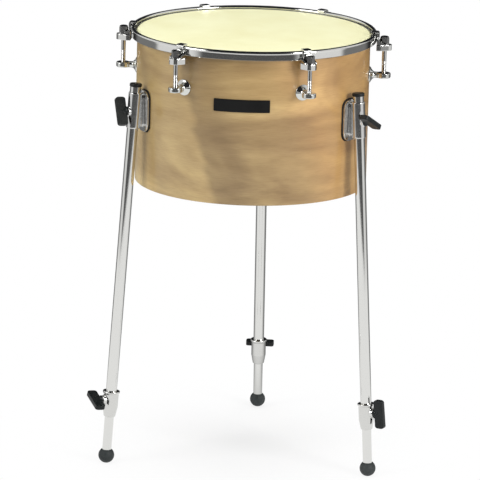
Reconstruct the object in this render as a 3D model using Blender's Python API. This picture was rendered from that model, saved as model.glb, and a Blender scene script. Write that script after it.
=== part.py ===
"""A sixteen inch kettledrum: a wooden shell open at the bottom, a skin held down by
six claws and tension screws, and three telescopic legs that splay outwards.

Lengths are in metres and +Z is up. Z = 0 is the floor that the feet stand on. The drum's
own axis stands at AXIS_Y, so that the origin is in the middle of the floor space.
Azimuths are in degrees round the drum from its front, where the badge is, and grow
towards the right of somebody who looks at the front.
"""

import math

import bmesh
import bpy
from mathutils import Matrix, Vector

# Where the drum stands
AXIS_Y = -0.041
GAP = 0.0003

# How finely round pieces are stepped
ROUND_STEPS = 64
TUBE_STEPS = 18
BOSS_STEPS = 14
HOLE_STEPS = 8

# Shell
SHELL_RADIUS = 0.200
SHELL_WALL = 0.0075
SHELL_BOTTOM = 0.484
SHELL_INSIDE = SHELL_RADIUS - SHELL_WALL
EDGE_ROUND = 0.0035

# Skin
SKIN_TOP = 0.745
SKIN_THICKNESS = 0.0005
SKIN_COLLAR = 0.0075
SHELL_TOP = SKIN_TOP - SKIN_THICKNESS - GAP

# Flesh hoop, which holds the skin's edge, and counter hoop, which presses it down
FLESH_INSIDE = SHELL_RADIUS + 0.0012
FLESH_WIDTH = 0.0062
FLESH_HEIGHT = 0.0064
HOOP_TOP = 0.750
HOOP_HEIGHT = 0.0155
HOOP_BEAD = 0.0036
HOOP_BEAD_RADIUS = 0.2075
HOOP_WALL_OUTSIDE = 0.2107
HOOP_WALL_INSIDE = 0.2079
FLESH_TOP = HOOP_TOP - 2 * HOOP_BEAD - GAP

# Tension units: claw, screw and lug
UNIT_AZIMUTHS = (-150, -90, -30, 30, 90, 150)
SCREW_FROM_AXIS = 0.2247
CLAW_WALL_INSIDE = 0.2116
CLAW_WALL = 0.0040
CLAW_REACH = 0.2368
CLAW_HALF_TOP = 0.0070
CLAW_HALF_FOOT = 0.0145
CLAW_HALF_NOSE = 0.0085
CLAW_FLANGE_LOW = 0.7212
CLAW_FLANGE_HIGH = 0.7310
CLAW_HOOK_TOP = HOOP_TOP + 0.0030
CLAW_HOOK_LIP = HOOP_TOP - 0.0022
CLAW_RIB = 0.0026
CLAW_RIB_HEIGHT = 0.0130
CLAW_RIB_EDGE = 0.0115
CLAW_HOLE = 0.0045
SCREW_ROD = 0.0039
SCREW_COLLAR = 0.0083
SCREW_COLLAR_HEIGHT = 0.0017
SCREW_HEAD_FLATS = 0.0136
SCREW_HEAD_HEIGHT = 0.0126
SCREW_HEAD_CHAMFER = 0.0018
SCREW_SLOT_WIDTH = 0.0022
SCREW_SLOT_DEPTH = 0.0034
SCREW_END = 0.6732
LUG_HEIGHT = 0.6772
LUG_EYE = 0.0120
LUG_EYE_THICKNESS = 0.0088
LUG_BORE = 0.0043
LUG_NECK = 0.0054
LUG_ROSETTE = 0.01375
LUG_ROSETTE_DEPTH = 0.0100
STUD = 0.0030
STUD_HOLE = 0.0034
STUD_END = 0.1850
NUT_WASHER = 0.0090
NUT_WASHER_THICKNESS = 0.0015
NUT_FLATS = 0.0100
NUT_THICKNESS = 0.0050

# Badge, left blank
BADGE_WIDTH = 0.095
BADGE_HEIGHT = 0.0215
BADGE_THICKNESS = 0.0010
BADGE_MIDDLE = 0.6550
BADGE_CORNER = 0.0015

# Leg stations
LEG_AZIMUTHS = {"left": -60, "right": 60, "rear": 180}
LEG_SPLAY = math.radians(3.8)
BRACKET_HEIGHT = 0.6187
LEG_FROM_AXIS = 0.2215
GASKET_WIDTH = 0.0400
GASKET_TALL = 0.0735
GASKET_THICKNESS = 0.0018
GASKET_CORNER = 0.0150
PLATE_MARGIN = 0.0014
PLATE_THICKNESS = 0.0036
WEB_HALF_WIDTH = 0.0070
WEB_HALF_TALL = 0.0270
WEB_CORNER = 0.0040
SLEEVE_OUTSIDE = 0.0120
SLEEVE_OFFSET = 0.0010
SLEEVE_BORE = 0.00985
SLEEVE_LOW = -0.0287
SLEEVE_HIGH = 0.0333
BOSS = 0.0082
BOSS_REACH = 0.0126
BRACKET_BOLT_SPREAD = 0.0220
BRACKET_BOLT_DEPTH = 0.2080
BACKING_HALF_WIDTH = 0.0120
BACKING_HALF_TALL = 0.0310
BACKING_THICKNESS = 0.0020
BACKING_CORNER = 0.0040
BOLT_HEAD_FLATS = 0.0100
BOLT_HEAD_HEIGHT = 0.0040

# Legs, measured along each leg from the middle of its bracket
TUBE_OUTSIDE = 0.0095
TUBE_INSIDE = 0.0083
TUBE_TOP = 0.0433
TUBE_BOTTOM = -0.5205
CAP_RADIUS = 0.0105
CAP_TOP = 0.0486
CAP_SPIGOT = 0.0079
CAP_SPIGOT_DEPTH = 0.0100
CAP_ROUND = 0.0014
CLAMP_TOP = -0.4913
CLAMP_RING = 0.01475
CLAMP_RING_HEIGHT = 0.0034
CLAMP_BODY = 0.0130
CLAMP_BODY_LOW = -0.5205
CLAMP_BOTTOM = -0.5370
CLAMP_BOTTOM_RADIUS = 0.0100
CLAMP_SHOULDER = TUBE_BOTTOM - GAP
CLAMP_BOSS_REACH = 0.0172
CLAMP_BOLT = -0.5078
EXTENSION_OUTSIDE = 0.0080
EXTENSION_INSIDE = 0.0067
EXTENSION_TOP = -0.2400
EXTENSION_BOTTOM = -0.6050
FOOT_RADIUS = 0.0138
FOOT_CENTRE_HEIGHT = 0.0134
FOOT_TOP_FLAT = 0.0105

# Wing bolts: threaded stud, hub and a flat wing, turned as each stood
BOLT_ROD = 0.0039
BOLT_HOLE = 0.0044
WING_LENGTH = 0.0500
WING_WIDTH = 0.0175
WING_HALF_THICKNESS = 0.0040
WING_EDGE = 0.0014
WING_CORNER = 0.0045
HUB = 0.0080
HUB_NECK = 0.0056
HUB_LENGTH = 0.0038
BRACKET_WING_TURN = {"left": -61, "right": -30, "rear": 20}
CLAMP_WING_TURN = {"left": -18, "right": -86, "rear": 0}


def clear_scene():
    """Removes every object, so that the script builds the same model each time."""
    for old in list(bpy.data.objects):
        bpy.data.objects.remove(old, do_unlink=True)


def finish(name, colour, roughness, metallic=0.0):
    """A plain surface for one kind of piece."""
    material = bpy.data.materials.new(name)
    material.use_nodes = True
    shader = material.node_tree.nodes["Principled BSDF"]
    shader.inputs["Base Color"].default_value = (*colour, 1.0)
    shader.inputs["Roughness"].default_value = roughness
    shader.inputs["Metallic"].default_value = metallic
    return material


def closed_mesh(name, points, faces):
    """A mesh with its faces turned outwards, from points and faces."""
    mesh = bpy.data.meshes.new(name)
    mesh.from_pydata([tuple(point) for point in points], [], faces)
    shape = bmesh.new()
    shape.from_mesh(mesh)
    bmesh.ops.recalc_face_normals(shape, faces=shape.faces)
    shape.to_mesh(mesh)
    shape.free()
    return mesh


def turned(profile, steps, move=None):
    """Turns an outline of (radius, height) pairs about Z.

    An outline that starts and ends on the axis gives a solid piece, and any other
    outline is a closed loop and gives a ring.
    """
    solid = profile[0][0] == 0.0
    points = []
    rings = []
    for radius, height in profile:
        if radius == 0.0:
            rings.append([len(points)])
            points.append(Vector((0.0, 0.0, height)))
            continue
        rings.append(list(range(len(points), len(points) + steps)))
        for step in range(steps):
            angle = 2 * math.pi * step / steps
            points.append(Vector((radius * math.cos(angle), radius * math.sin(angle), height)))
    pairs = list(zip(rings, rings[1:]))
    if not solid:
        pairs.append((rings[-1], rings[0]))
    faces = []
    for low, high in pairs:
        for step in range(steps):
            after = (step + 1) % steps
            corners = [low[step % len(low)], low[after % len(low)]]
            corners += [high[after % len(high)], high[step % len(high)]]
            faces.append(list(dict.fromkeys(corners)))
    move = move or Matrix.Identity(4)
    return closed_mesh("turned", [move @ point for point in points], faces)


def prism(outline, low, high, along="Z", move=None):
    """Extrudes an outline along one axis, between two distances."""
    frames = {
        "X": lambda a, b, c: Vector((c, a, b)),
        "Y": lambda a, b, c: Vector((a, c, b)),
        "Z": lambda a, b, c: Vector((a, b, c)),
    }
    place = frames[along]
    count = len(outline)
    points = [place(a, b, low) for a, b in outline] + [place(a, b, high) for a, b in outline]
    faces = [list(range(count)), list(range(count, 2 * count))]
    for step in range(count):
        after = (step + 1) % count
        faces.append([step, after, count + after, count + step])
    move = move or Matrix.Identity(4)
    return closed_mesh("prism", [move @ point for point in points], faces)


def circle(radius, steps, centre=(0.0, 0.0), turn=0.0):
    """Points round a circle."""
    angles = [turn + 2 * math.pi * step / steps for step in range(steps)]
    return [(centre[0] + radius * math.cos(a), centre[1] + radius * math.sin(a)) for a in angles]


def arc(centre, radius, start, end, steps):
    """Points along an arc, from the start angle to the end angle, in degrees."""
    angles = [math.radians(start + (end - start) * step / steps) for step in range(steps + 1)]
    return [(centre[0] + radius * math.cos(a), centre[1] + radius * math.sin(a)) for a in angles]


def rounded_rectangle(width, height, corner, steps=3, centre=(0.0, 0.0)):
    """A rectangle's outline with round corners."""
    outline = []
    for side_x, side_y, start in ((1, 1, 0), (-1, 1, 90), (-1, -1, 180), (1, -1, 270)):
        middle = (
            centre[0] + side_x * (width / 2 - corner),
            centre[1] + side_y * (height / 2 - corner),
        )
        outline += arc(middle, corner, start, start + 90, steps)
    return outline


def hexagon(flats, centre=(0.0, 0.0)):
    """A hexagon's outline from its width across the flats."""
    return circle(flats / math.sqrt(3), 6, centre)


def pillow(outline_at, half_thickness, edge):
    """A flat plate in the XY plane whose rims are bevelled. outline_at gives the inset outline."""
    layers = (
        (outline_at(edge), -half_thickness),
        (outline_at(0.0), -half_thickness + edge),
        (outline_at(0.0), half_thickness - edge),
        (outline_at(edge), half_thickness),
    )
    count = len(layers[0][0])
    points = [Vector((x, y, height)) for outline, height in layers for x, y in outline]
    faces = [list(range(count)), list(range(3 * count, 4 * count))]
    for layer in range(3):
        for step in range(count):
            after = (step + 1) % count
            low = layer * count
            high = low + count
            faces.append([low + step, low + after, high + after, high + step])
    return closed_mesh("pillow", points, faces)


def combined(name, base, tools):
    """Applies (operation, mesh) pairs to a mesh, one after the other."""
    things = []
    for mesh in [base] + [mesh for operation, mesh in tools]:
        thing = bpy.data.objects.new("blank", mesh)
        bpy.context.scene.collection.objects.link(thing)
        things.append(thing)
    for (operation, mesh), thing in zip(tools, things[1:]):
        modifier = things[0].modifiers.new("tool", "BOOLEAN")
        modifier.solver = "EXACT"
        modifier.operation = operation
        modifier.object = thing
    graph = bpy.context.evaluated_depsgraph_get()
    result = bpy.data.meshes.new_from_object(things[0].evaluated_get(graph))
    result.name = name
    for thing in things:
        bpy.data.objects.remove(thing, do_unlink=True)
    return result


def joined(name, solids, cutters=()):
    """Fuses solids into one closed body and cuts the cutters out of it."""
    tools = [("UNION", mesh) for mesh in solids[1:]]
    tools += [("DIFFERENCE", mesh) for mesh in cutters]
    return combined(name, solids[0], tools)


def shared_by(name, first, second):
    """The body that two solids share."""
    return combined(name, first, [("INTERSECT", second)])


def empty(name, parent=None, location=(0.0, 0.0, 0.0), rotation=(0.0, 0.0, 0.0)):
    """A frame that pieces hang on."""
    frame = bpy.data.objects.new(name, None)
    frame.empty_display_size = 0.02
    frame.location = location
    frame.rotation_euler = rotation
    frame.parent = parent
    bpy.context.scene.collection.objects.link(frame)
    return frame


def node(name, mesh, material, parent, location=(0.0, 0.0, 0.0)):
    """Places one piece of the drum."""
    if not mesh.materials:
        mesh.materials.append(material)
    mesh.materials[0] = material
    mesh.shade_smooth()
    mesh.set_sharp_from_angle(angle=math.radians(32))
    piece = bpy.data.objects.new(name, mesh)
    piece.location = location
    piece.parent = parent
    bpy.context.scene.collection.objects.link(piece)
    return piece


def along_x():
    """Turns a piece made along +Z so that it points along +X."""
    return Matrix.Rotation(math.pi / 2, 4, "Y")


def leg_frame_matrix():
    """The leg's own frame, seen from the frame of its station on the drum."""
    place = Matrix.Translation((LEG_FROM_AXIS, 0.0, BRACKET_HEIGHT))
    return place @ Matrix.Rotation(-LEG_SPLAY, 4, "Y")


def shell_ring(inside, thickness, low, high):
    """A thin wall that follows the shell's round."""
    outside = inside + thickness
    return turned([(inside, low), (outside, low), (outside, high), (inside, high)], ROUND_STEPS)


def station_matrix(azimuth):
    """The frame of a place on the drum: X points outwards and Z up."""
    return Matrix.Rotation(math.radians(azimuth - 90), 4, "Z")


def shell_mesh():
    """The wooden shell with its bearing edge, drilled for the lugs and the leg brackets."""
    centre = (SHELL_RADIUS - EDGE_ROUND, SHELL_TOP - EDGE_ROUND)
    profile = [(SHELL_INSIDE, SHELL_BOTTOM + 0.001), (SHELL_INSIDE + 0.001, SHELL_BOTTOM)]
    profile += [(SHELL_RADIUS - 0.001, SHELL_BOTTOM), (SHELL_RADIUS, SHELL_BOTTOM + 0.001)]
    profile += arc(centre, EDGE_ROUND, 0, 90, 3)
    profile += [(SHELL_INSIDE, SHELL_TOP - (SHELL_WALL - EDGE_ROUND))]
    low = SHELL_INSIDE - 0.01
    high = SHELL_RADIUS + 0.01
    holes = []
    for azimuth in UNIT_AZIMUTHS:
        outline = circle(STUD_HOLE, HOLE_STEPS, (0.0, LUG_HEIGHT))
        holes.append(prism(outline, low, high, "X", station_matrix(azimuth)))
    for azimuth in LEG_AZIMUTHS.values():
        for height in bracket_bolt_heights():
            outline = circle(STUD_HOLE, HOLE_STEPS, (0.0, height))
            holes.append(prism(outline, low, high, "X", station_matrix(azimuth)))
    return joined("shell", [turned(profile, ROUND_STEPS)], holes)


def skin_mesh():
    """The drum skin: flat over the bearing edge and turned down outside the shell."""
    outer_round = EDGE_ROUND + GAP + SKIN_THICKNESS
    centre = (SHELL_RADIUS - EDGE_ROUND, SHELL_TOP - EDGE_ROUND)
    outside = arc(centre, outer_round, 0, 90, 3)
    inside = arc(centre, EDGE_ROUND + GAP, 90, 0, 3)
    low = SKIN_TOP - SKIN_COLLAR
    profile = [(0.0, SKIN_TOP - SKIN_THICKNESS)] + inside
    profile += [(inside[-1][0], low), (outside[0][0], low)]
    profile += outside + [(0.0, SKIN_TOP)]
    return turned(profile, ROUND_STEPS)


def flesh_hoop_mesh():
    """The square hoop that the skin's edge is lapped round."""
    outside = FLESH_INSIDE + FLESH_WIDTH
    low = FLESH_TOP - FLESH_HEIGHT
    profile = [(FLESH_INSIDE, low), (outside, low), (outside, FLESH_TOP), (FLESH_INSIDE, FLESH_TOP)]
    return turned(profile, ROUND_STEPS)


def counter_hoop_mesh():
    """The steel counter hoop: an upright band with a round bead rolled along its top."""
    centre = (HOOP_BEAD_RADIUS, HOOP_TOP - HOOP_BEAD)
    low = HOOP_TOP - HOOP_HEIGHT
    join = centre[1] - HOOP_BEAD * 0.62
    profile = [(HOOP_WALL_INSIDE, low), (HOOP_WALL_OUTSIDE, low), (HOOP_WALL_OUTSIDE, join)]
    profile += arc(centre, HOOP_BEAD, -18, 252, 7)
    profile += [(HOOP_WALL_INSIDE, centre[1] - HOOP_BEAD)]
    return turned(profile, ROUND_STEPS)


def claw_mesh():
    """One cast claw: hook, tapered back, ribbed flange and the hole for the screw."""
    wall_out = CLAW_WALL_INSIDE + CLAW_WALL
    hook_in = HOOP_BEAD_RADIUS - HOOP_BEAD - 0.0004
    lip_in = hook_in - 0.0021
    under = HOOP_TOP + GAP
    hook = [(lip_in, CLAW_HOOK_LIP), (hook_in, CLAW_HOOK_LIP), (hook_in + 0.0012, under)]
    hook += [(CLAW_WALL_INSIDE, under), (CLAW_WALL_INSIDE, CLAW_FLANGE_HIGH)]
    hook += [(wall_out, CLAW_FLANGE_HIGH), (wall_out, CLAW_HOOK_TOP - 0.0022)]
    hook += [(wall_out - 0.0022, CLAW_HOOK_TOP), (lip_in + 0.0014, CLAW_HOOK_TOP)]
    hook += [(lip_in, CLAW_HOOK_TOP - 0.0016)]
    foot = CLAW_HALF_FOOT - 0.0005
    waist = CLAW_FLANGE_HIGH + CLAW_RIB_HEIGHT
    back = [(-foot, CLAW_FLANGE_LOW + 0.001), (foot, CLAW_FLANGE_LOW + 0.001)]
    back += [(CLAW_HALF_TOP - 0.0004, waist), (-CLAW_HALF_TOP + 0.0004, waist)]
    flange = [(CLAW_WALL_INSIDE, -CLAW_HALF_FOOT), (wall_out + 0.003, -CLAW_HALF_FOOT)]
    flange += [(CLAW_REACH - 0.004, -CLAW_HALF_NOSE), (CLAW_REACH, -CLAW_HALF_NOSE / 2)]
    flange += [(x, -y) for x, y in reversed(flange)]
    rib = [(CLAW_WALL_INSIDE + 0.0005, CLAW_FLANGE_HIGH - 0.001)]
    rib += [(SCREW_FROM_AXIS + 0.0035, CLAW_FLANGE_HIGH - 0.001)]
    rib += [(SCREW_FROM_AXIS + 0.0035, CLAW_FLANGE_HIGH + 0.0015)]
    rib += [(CLAW_WALL_INSIDE + 0.0005, CLAW_FLANGE_HIGH + CLAW_RIB_HEIGHT - 0.004)]
    solids = [prism(flange, CLAW_FLANGE_LOW, CLAW_FLANGE_HIGH)]
    solids.append(prism(hook, -CLAW_HALF_TOP, CLAW_HALF_TOP, "Y"))
    solids.append(prism(back, CLAW_WALL_INSIDE + 0.0002, wall_out - 0.0002, "X"))
    for side in (-1, 1):
        edges = sorted((side * CLAW_RIB_EDGE, side * (CLAW_RIB_EDGE - CLAW_RIB)))
        solids.append(prism(rib, edges[0], edges[1], "Y"))
    hole = circle(CLAW_HOLE, BOSS_STEPS, (SCREW_FROM_AXIS, 0.0))
    return joined("claw", solids, [prism(hole, CLAW_FLANGE_LOW - 0.01, CLAW_FLANGE_HIGH + 0.02)])


def tension_screw_mesh():
    """One tension screw about its own axis: slotted hexagonal head, collar and rod."""
    seat = CLAW_FLANGE_HIGH + GAP
    top = seat + SCREW_COLLAR_HEIGHT + SCREW_HEAD_HEIGHT
    rod = [(0.0, SCREW_END), (SCREW_ROD - 0.0006, SCREW_END), (SCREW_ROD, SCREW_END + 0.0006)]
    rod += [(SCREW_ROD, seat + 0.0004), (0.0, seat + 0.0004)]
    collar = [(0.0, seat), (SCREW_COLLAR, seat)]
    collar += [(SCREW_COLLAR, seat + SCREW_COLLAR_HEIGHT - 0.0005)]
    collar += [(SCREW_COLLAR - 0.0008, seat + SCREW_COLLAR_HEIGHT)]
    collar += [(0.0, seat + SCREW_COLLAR_HEIGHT)]
    head = prism(hexagon(SCREW_HEAD_FLATS), seat + 0.0005, top)
    corner = SCREW_HEAD_FLATS / math.sqrt(3)
    dome = [(0.0, seat + 0.0003), (corner + 0.001, seat + 0.0003)]
    dome += [(corner + 0.001, top - SCREW_HEAD_CHAMFER), (corner, top - SCREW_HEAD_CHAMFER)]
    dome += [(corner - 1.6 * SCREW_HEAD_CHAMFER, top - 0.0001), (0.0, top - 0.0001)]
    head = shared_by("head", head, turned(dome, 18))
    half = SCREW_SLOT_WIDTH / 2
    wide = SCREW_HEAD_FLATS
    slot = [(-wide, top - SCREW_SLOT_DEPTH), (wide, top - SCREW_SLOT_DEPTH)]
    slot += [(wide, top + 0.002), (-wide, top + 0.002)]
    cutter = prism(slot, -half, half, "Y")
    return joined("tension_screw", [turned(collar, TUBE_STEPS), turned(rod, HOLE_STEPS), head], [cutter])


def lug_mesh():
    """One lug: rosette on the shell, neck, eye round the screw and stud through the shell."""
    start = SHELL_RADIUS - 0.002
    front = SHELL_RADIUS + LUG_ROSETTE_DEPTH
    turnery = [(0.0, start), (LUG_ROSETTE, start), (LUG_ROSETTE, SHELL_RADIUS + 0.0018)]
    turnery += [(LUG_NECK + 0.0026, SHELL_RADIUS + 0.0052), (LUG_NECK, front)]
    turnery += [(LUG_NECK, SCREW_FROM_AXIS - LUG_EYE / 2), (0.0, SCREW_FROM_AXIS - LUG_EYE / 2)]
    raise_up = Matrix.Translation((0.0, 0.0, LUG_HEIGHT))
    post = turned(turnery, TUBE_STEPS, raise_up @ along_x())
    half = LUG_EYE_THICKNESS / 2
    edge = 0.0012
    eye = [(0.0, -half), (LUG_EYE - edge, -half), (LUG_EYE, -half + edge)]
    eye += [(LUG_EYE, half - edge), (LUG_EYE - edge, half), (0.0, half)]
    place = Matrix.Translation((SCREW_FROM_AXIS, 0.0, LUG_HEIGHT))
    outline = circle(SHELL_RADIUS + GAP, ROUND_STEPS)
    shell_round = prism(outline, LUG_HEIGHT - 0.05, LUG_HEIGHT + 0.05)
    outline = circle(LUG_BORE, BOSS_STEPS, (SCREW_FROM_AXIS, 0.0))
    bore = prism(outline, LUG_HEIGHT - 0.02, LUG_HEIGHT + 0.02)
    body = joined("lug_body", [post, turned(eye, TUBE_STEPS, place)], [shell_round, bore])
    stud = prism(circle(STUD, 8, (0.0, LUG_HEIGHT)), STUD_END, SHELL_RADIUS + 0.004, "X")
    return joined("lug", [body, stud])


def lug_nut_mesh():
    """The nut with its washer, inside the shell."""
    face = math.sqrt(SHELL_INSIDE**2 - NUT_WASHER**2) - GAP
    inner = face - NUT_WASHER_THICKNESS
    middle = (0.0, LUG_HEIGHT)
    washer = prism(circle(NUT_WASHER, BOSS_STEPS, middle), inner, face, "X")
    nut = prism(hexagon(NUT_FLATS, middle), inner - NUT_THICKNESS, inner + 0.0004, "X")
    bore = prism(circle(STUD_HOLE, HOLE_STEPS, middle), inner - 0.02, face + 0.01, "X")
    return joined("lug_nut", [washer, nut], [bore])


def badge_mesh():
    """The plain badge plate, bent to the shell."""
    outline = rounded_rectangle(BADGE_WIDTH, BADGE_HEIGHT, BADGE_CORNER, 2, (0.0, BADGE_MIDDLE))
    block = prism(outline, SHELL_RADIUS - 0.02, SHELL_RADIUS + 0.01, "X")
    ring = shell_ring(SHELL_RADIUS + GAP, BADGE_THICKNESS, BADGE_MIDDLE - 0.05, BADGE_MIDDLE + 0.05)
    return shared_by("badge_plate", ring, block)


def bracket_bolt_heights():
    """Heights of the two bolts that hold a bracket."""
    return [BRACKET_HEIGHT + side * BRACKET_BOLT_SPREAD for side in (-1, 1)]


def gasket_mesh():
    """The dark gasket between a bracket and the shell."""
    middle = (0.0, BRACKET_HEIGHT)
    outline = rounded_rectangle(GASKET_WIDTH, GASKET_TALL, GASKET_CORNER, 3, middle)
    block = prism(outline, SHELL_RADIUS - 0.01, SHELL_RADIUS + 0.01, "X")
    inside = SHELL_RADIUS + GAP
    ring = shell_ring(inside, GASKET_THICKNESS, BRACKET_HEIGHT - 0.05, BRACKET_HEIGHT + 0.05)
    body = shared_by("gasket", ring, block)
    holes = []
    for height in bracket_bolt_heights():
        outline = circle(STUD_HOLE, HOLE_STEPS, (0.0, height))
        holes.append(prism(outline, inside - 0.01, inside + 0.01, "X"))
    return joined("bracket_gasket", [body], holes)


def bracket_mesh():
    """The cast leg bracket: curved base plate, web and a sleeve round the leg."""
    inside = SHELL_RADIUS + 2 * GAP + GASKET_THICKNESS
    width = GASKET_WIDTH - 2 * PLATE_MARGIN
    tall = GASKET_TALL - 2 * PLATE_MARGIN
    corner = GASKET_CORNER - PLATE_MARGIN
    middle = (0.0, BRACKET_HEIGHT)
    outline = rounded_rectangle(width, tall, corner, 3, middle)
    block = prism(outline, SHELL_RADIUS - 0.01, SHELL_RADIUS + 0.02, "X")
    ring = shell_ring(inside, PLATE_THICKNESS, BRACKET_HEIGHT - 0.05, BRACKET_HEIGHT + 0.05)
    plate = shared_by("plate", ring, block)
    leg = leg_frame_matrix()
    outline = rounded_rectangle(2 * WEB_HALF_WIDTH, 2 * WEB_HALF_TALL, WEB_CORNER, 1, middle)
    web = prism(outline, inside + 0.001, LEG_FROM_AXIS - 0.006, "X")
    shift = leg @ Matrix.Translation((-SLEEVE_OFFSET, 0.0, 0.0))
    edge = 0.0010
    sleeve_profile = [(0.0, SLEEVE_LOW), (SLEEVE_OUTSIDE - edge, SLEEVE_LOW)]
    sleeve_profile += [(SLEEVE_OUTSIDE, SLEEVE_LOW + edge), (SLEEVE_OUTSIDE, SLEEVE_HIGH - edge)]
    sleeve_profile += [(SLEEVE_OUTSIDE - edge, SLEEVE_HIGH), (0.0, SLEEVE_HIGH)]
    sleeve = turned(sleeve_profile, TUBE_STEPS, shift)
    boss_profile = [(0.0, 0.0), (BOSS, 0.0), (BOSS, BOSS_REACH - edge)]
    boss_profile += [(BOSS - edge, BOSS_REACH), (0.0, BOSS_REACH)]
    boss = turned(boss_profile, BOSS_STEPS, leg @ along_x())
    bore = prism(circle(SLEEVE_BORE, TUBE_STEPS), SLEEVE_LOW - 0.02, SLEEVE_HIGH + 0.02, "Z", leg)
    hole = prism(circle(BOLT_HOLE, HOLE_STEPS), 0.002, BOSS_REACH + 0.01, "X", leg)
    cutters = [bore, hole]
    for height in bracket_bolt_heights():
        outline = circle(STUD_HOLE, HOLE_STEPS, (0.0, height))
        cutters.append(prism(outline, inside - 0.01, BRACKET_BOLT_DEPTH + GAP, "X"))
    return joined("leg_bracket", [plate, web, sleeve, boss], cutters)


def backing_mesh():
    """The plate inside the shell with the two bolts that pull the bracket on."""
    face = math.sqrt(SHELL_INSIDE**2 - BACKING_HALF_WIDTH**2) - GAP
    inner = face - BACKING_THICKNESS
    outline = rounded_rectangle(
        2 * BACKING_HALF_WIDTH, 2 * BACKING_HALF_TALL, BACKING_CORNER, 2, (0.0, BRACKET_HEIGHT)
    )
    solids = [prism(outline, inner, face, "X")]
    for height in bracket_bolt_heights():
        middle = (0.0, height)
        shank = circle(STUD, 8, middle)
        solids.append(prism(shank, inner + 0.0005, BRACKET_BOLT_DEPTH, "X"))
        head = hexagon(BOLT_HEAD_FLATS, middle)
        solids.append(prism(head, inner - BOLT_HEAD_HEIGHT, inner + 0.0005, "X"))
    return joined("bracket_backing", solids)


def wing_bolt_mesh(tip, seat):
    """A wing bolt about its own axis, +X: stud from the tip, hub on its seat, and the wing."""
    root = seat + GAP
    rod = prism(circle(BOLT_ROD, HOLE_STEPS), tip, root + 0.002, "X")
    neck_end = root + HUB_LENGTH
    hub = [(0.0, root), (HUB, root), (HUB, root + 0.0018), (HUB_NECK, neck_end)]
    hub += [(HUB_NECK - 0.0012, neck_end + 0.006), (0.0, neck_end + 0.006)]
    hub_solid = turned(hub, BOSS_STEPS, along_x())
    middle = (root + 0.0012 + WING_WIDTH / 2, 0.0)

    def outline_at(inset):
        return rounded_rectangle(
            WING_WIDTH - 2 * inset, WING_LENGTH - 2 * inset, WING_CORNER - inset, 2, middle
        )

    wing = pillow(outline_at, WING_HALF_THICKNESS, WING_EDGE)
    return joined("wing_bolt", [wing, hub_solid, rod])


def tube_mesh(outside, inside, low, high, hole_at=None):
    """A plain tube along the leg, with the wing bolt's hole if it has one."""
    body = turned([(inside, low), (outside, low), (outside, high), (inside, high)], TUBE_STEPS)
    if hole_at is None:
        return body
    hole = prism(circle(BOLT_HOLE, HOLE_STEPS, (0.0, hole_at)), 0.002, outside + 0.01, "X")
    return joined("leg_tube", [body], [hole])


def cap_mesh():
    """The cap in the top of a leg, which stops it in its bracket."""
    seat = TUBE_TOP + GAP
    profile = [(0.0, seat - CAP_SPIGOT_DEPTH), (CAP_SPIGOT, seat - CAP_SPIGOT_DEPTH)]
    profile += [(CAP_SPIGOT, seat), (CAP_RADIUS, seat), (CAP_RADIUS, CAP_TOP - CAP_ROUND)]
    profile += [(CAP_RADIUS - CAP_ROUND, CAP_TOP), (0.0, CAP_TOP)]
    return turned(profile, TUBE_STEPS)


def clamp_mesh():
    """The clamp on the lower end of a leg tube: ring, body, boss and tapered skirt."""
    profile = [(EXTENSION_OUTSIDE + GAP, CLAMP_BOTTOM), (CLAMP_BOTTOM_RADIUS, CLAMP_BOTTOM)]
    profile += [(CLAMP_BODY, CLAMP_BODY_LOW), (CLAMP_BODY, CLAMP_TOP - CLAMP_RING_HEIGHT - 0.0015)]
    profile += [(CLAMP_RING, CLAMP_TOP - CLAMP_RING_HEIGHT), (CLAMP_RING, CLAMP_TOP)]
    profile += [(SLEEVE_BORE, CLAMP_TOP)]
    profile += [(SLEEVE_BORE, CLAMP_SHOULDER), (EXTENSION_OUTSIDE + GAP, CLAMP_SHOULDER)]
    lift = Matrix.Translation((0.0, 0.0, CLAMP_BOLT))
    edge = 0.0010
    boss = [(0.0, SLEEVE_BORE + 0.001), (BOSS, SLEEVE_BORE + 0.001), (BOSS, CLAMP_BOSS_REACH - edge)]
    boss += [(BOSS - edge, CLAMP_BOSS_REACH), (0.0, CLAMP_BOSS_REACH)]
    solids = [turned(profile, TUBE_STEPS), turned(boss, BOSS_STEPS, lift @ along_x())]
    outline = circle(BOLT_HOLE, HOLE_STEPS, (0.0, CLAMP_BOLT))
    return joined("leg_clamp", solids, [prism(outline, 0.002, CLAMP_BOSS_REACH + 0.01, "X")])


def foot_along_leg():
    """Where the middle of the foot is along the leg."""
    return -(BRACKET_HEIGHT - FOOT_CENTRE_HEIGHT) / math.cos(LEG_SPLAY)


def foot_mesh():
    """The rubber ball foot about its middle, upright, with the leg's socket and a flat sole."""
    ball = arc((0.0, 0.0), FOOT_RADIUS, -90, 90, 8)
    profile = [(0.0, -FOOT_RADIUS)] + ball[1:-1] + [(0.0, FOOT_RADIUS)]
    tilt = Matrix.Rotation(-LEG_SPLAY, 4, "Y")
    depth = EXTENSION_BOTTOM - foot_along_leg() - GAP
    socket = prism(circle(EXTENSION_OUTSIDE + GAP, TUBE_STEPS), depth, 0.03, "Z", tilt)
    square = rounded_rectangle(0.04, 0.04, 0.001, 1)
    sole = prism(square, -0.03, -FOOT_CENTRE_HEIGHT)
    crown = prism(square, FOOT_TOP_FLAT, 0.03, "Z", tilt)
    return joined("foot", [turned(profile, TUBE_STEPS)], [socket, sole, crown])


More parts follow.
